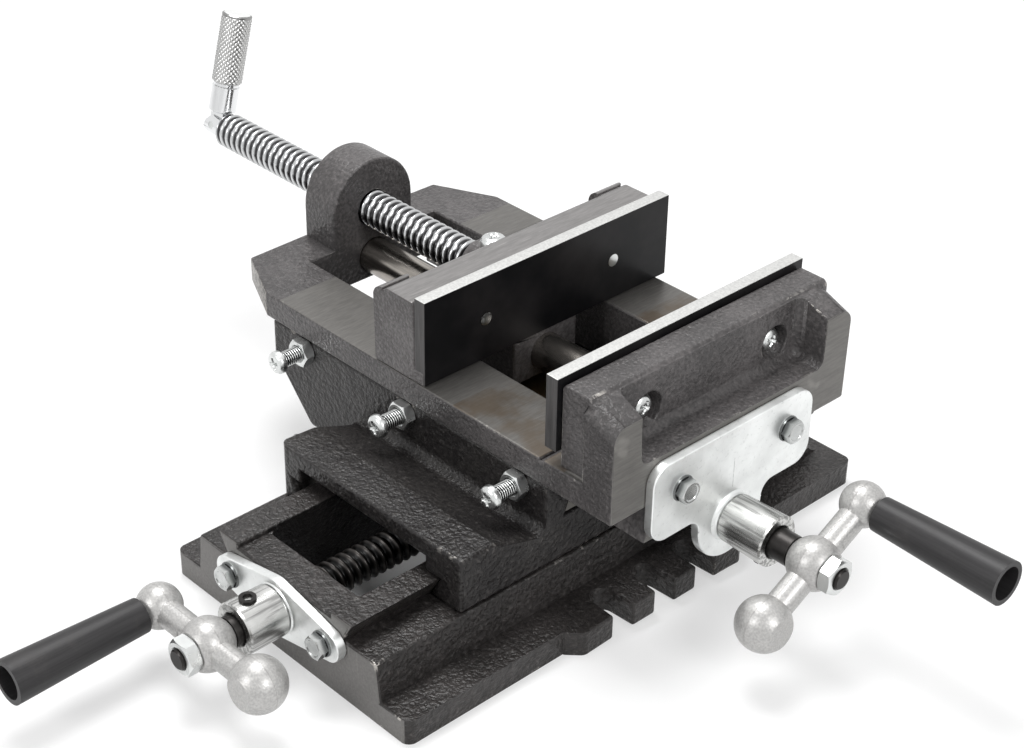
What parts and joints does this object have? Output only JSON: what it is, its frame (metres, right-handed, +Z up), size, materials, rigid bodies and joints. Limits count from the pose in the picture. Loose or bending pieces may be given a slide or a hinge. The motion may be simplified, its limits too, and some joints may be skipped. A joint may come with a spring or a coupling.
{
  "type": "cross slide vise",
  "caption": "Drill press vise on two crossed dovetail slides, each moved by a cranked lead screw, with a clamp screw and folding handle that close the jaw.",
  "frame": {"origin": "centre of the base casting's bottom face", "axes": "+X along the lower cross screw away from its crank, +Y from the fixed jaw to the clamp screw's lug, +Z up from the table"},
  "size_m": [0.2581, 0.3249, 0.1059],
  "materials": {
    "cast_iron": "rough",
    "jaw_iron": "satin",
    "ground_steel": "satin",
    "zinc_steel": "satin",
    "polished_steel": "gloss",
    "dark_steel": "satin",
    "crank_metal": "satin",
    "grip_dark": "matte",
    "bronze": "satin",
    "gib_steel": "satin"
  },
  "bodies": {
    "base": {"base": "cast_iron", "lower_bracket": "zinc_steel", "lower_bush": "zinc_steel", "lower_set_screw": "dark_steel", "lower_bracket_bolts": "zinc_steel"},
    "lower_screw": {"lower_lead_screw": "dark_steel", "lower_crank": "crank_metal", "lower_crank_nut": "zinc_steel", "lower_grip_spindle": "dark_steel"},
    "lower_grip": {"lower_grip": "grip_dark"},
    "saddle": {"saddle": "cast_iron", "lower_gib": "gib_steel", "upper_gib": "gib_steel", "lower_gib_screws": "zinc_steel", "upper_gib_screws": "zinc_steel", "lower_lock_nuts": "zinc_steel", "upper_lock_nuts": "zinc_steel", "lower_lead_nut": "bronze", "upper_lead_nut": "bronze"},
    "vise_body": {"vise_body": "jaw_iron", "fixed_jaw_plate": "ground_steel", "fixed_plate_screws": "dark_steel", "guide_bar": "polished_steel", "upper_bracket": "zinc_steel", "upper_bush": "zinc_steel", "upper_set_screw": "dark_steel", "upper_bracket_bolts": "zinc_steel"},
    "upper_screw": {"upper_lead_screw": "dark_steel", "upper_crank": "crank_metal", "upper_crank_nut": "zinc_steel", "upper_grip_spindle": "dark_steel"},
    "upper_grip": {"upper_grip": "grip_dark"},
    "moving_jaw": {"moving_jaw": "jaw_iron", "moving_jaw_plate": "ground_steel", "moving_plate_screws": "dark_steel", "retainer_screw": "zinc_steel"},
    "clamp_screw": {"clamp_screw": "polished_steel", "handle_pin": "zinc_steel"},
    "folding_handle": {"folding_handle": "polished_steel"}
  },
  "joints": [
    {"name": "lower_turn", "type": "hinge", "parent": "base", "child": "lower_screw", "pos_m": [-0.11, 0, 0.018], "axis": [1, 0, 0], "range_deg": [-6000, 3600]},
    {"name": "lower_grip_spin", "type": "hinge", "parent": "lower_screw", "child": "lower_grip", "pos_m": [-0.15, 0.0223, 0.018], "axis": [1, 0, 0], "continuous": true},
    {"name": "saddle_slide", "type": "slide", "parent": "base", "child": "saddle", "axis": [1, 0, 0], "range_m": [-0.03, 0.05]},
    {"name": "body_slide", "type": "slide", "parent": "saddle", "child": "vise_body", "axis": [0, 1, 0], "range_m": [-0.04, 0.023]},
    {"name": "upper_turn", "type": "hinge", "parent": "vise_body", "child": "upper_screw", "pos_m": [0.0162, -0.09, 0.0314], "axis": [0, 1, 0], "range_deg": [-7200, 4140]},
    {"name": "upper_grip_spin", "type": "hinge", "parent": "upper_screw", "child": "upper_grip", "pos_m": [0.03589, -0.12, 0.04187], "axis": [0, 1, 0], "continuous": true},
    {"name": "jaw_slide", "type": "slide", "parent": "vise_body", "child": "moving_jaw", "axis": [0, 1, 0], "range_m": [-0.049, 0.048]},
    {"name": "clamp_turn", "type": "hinge", "parent": "moving_jaw", "child": "clamp_screw", "pos_m": [0.0186, 0.1, 0.0664], "axis": [0, 1, 0], "range_deg": [-5880, 5760]},
    {"name": "handle_fold", "type": "hinge", "parent": "clamp_screw", "child": "folding_handle", "pos_m": [0.0186, 0.1742, 0.0664], "axis": [-0.9659, 0, 0.2588], "range_deg": [0, 90]}
  ],
  "couplings": [
    {"joint": "lower_turn", "follows": "saddle_slide", "rad_per_m": -2094.4},
    {"joint": "upper_turn", "follows": "body_slide", "rad_per_m": 3141.6},
    {"joint": "clamp_turn", "follows": "jaw_slide", "rad_per_m": 2094.4}
  ]
}
